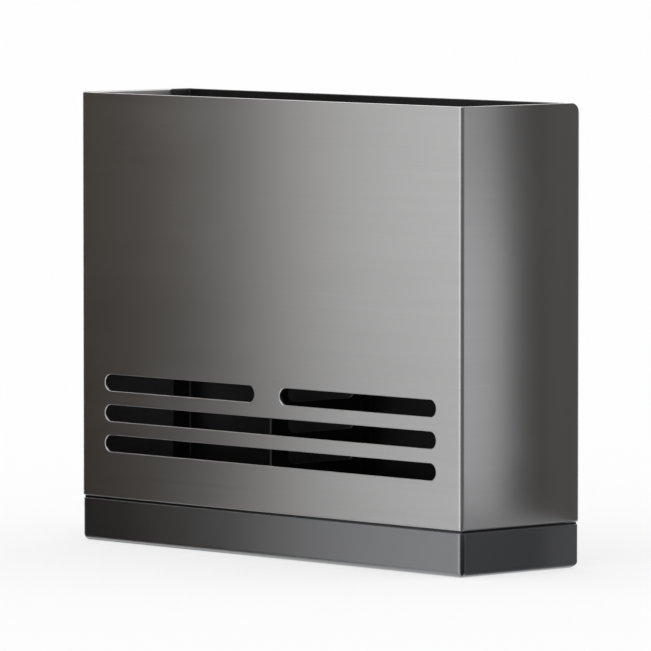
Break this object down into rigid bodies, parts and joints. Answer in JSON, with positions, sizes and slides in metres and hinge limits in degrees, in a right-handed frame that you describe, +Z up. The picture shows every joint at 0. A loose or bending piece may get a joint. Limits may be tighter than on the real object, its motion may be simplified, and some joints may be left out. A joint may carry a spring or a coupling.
{
  "type": "wall-mounted chopstick holder",
  "caption": "Wall-hung box of bent satin sheet for chopsticks and cutlery, slotted low on its front, with a lift-out divider and a pull-out drip tray.",
  "frame": {"origin": "middle of the wall rail's adhesive back, on the wall plane", "axes": "+X to the right as seen from the front, +Y into the wall, +Z up; the front faces -Y"},
  "size_m": [0.22, 0.063, 0.18],
  "materials": {
    "shell_metal": "satin gun-metal sheet with a fine hairline",
    "inner_steel": "dark coated steel sheet",
    "bracket_steel": "plain satin steel",
    "rivet_metal": "satin",
    "tray_plastic": "satin metallic dark-grey paint on moulded plastic",
    "bumper_rubber": "matt",
    "pad_foam": "white foam tape"
  },
  "bodies": {
    "wall_bracket": {"wall_rail": "bracket_steel", "adhesive_pad": "pad_foam"},
    "holder": {"front_shell": "shell_metal", "back_panel": "inner_steel", "drain_floor": "inner_steel", "left_tray_runner": "inner_steel", "right_tray_runner": "inner_steel", "left_runner_rivets": "rivet_metal", "right_runner_rivets": "rivet_metal", "front_divider_guide": "inner_steel", "rear_divider_guide": "inner_steel", "hanger_rail": "bracket_steel", "hanger_rivets": "rivet_metal", "left_bumper": "bumper_rubber", "right_bumper": "bumper_rubber"},
    "divider": {"divider_panel": "inner_steel"},
    "tray": {"drip_tray": "tray_plastic"}
  },
  "joints": [
    {"name": "holder_lift", "type": "slide", "parent": "wall_bracket", "child": "holder", "axis": [0, 0, 1], "range_m": [0, 0.009]},
    {"name": "divider_lift", "type": "slide", "parent": "holder", "child": "divider", "axis": [0, 0, 1], "range_m": [0, 0.148]},
    {"name": "tray_slide", "type": "slide", "parent": "holder", "child": "tray", "axis": [0, -1, 0], "range_m": [0, 0.058]}
  ]
}
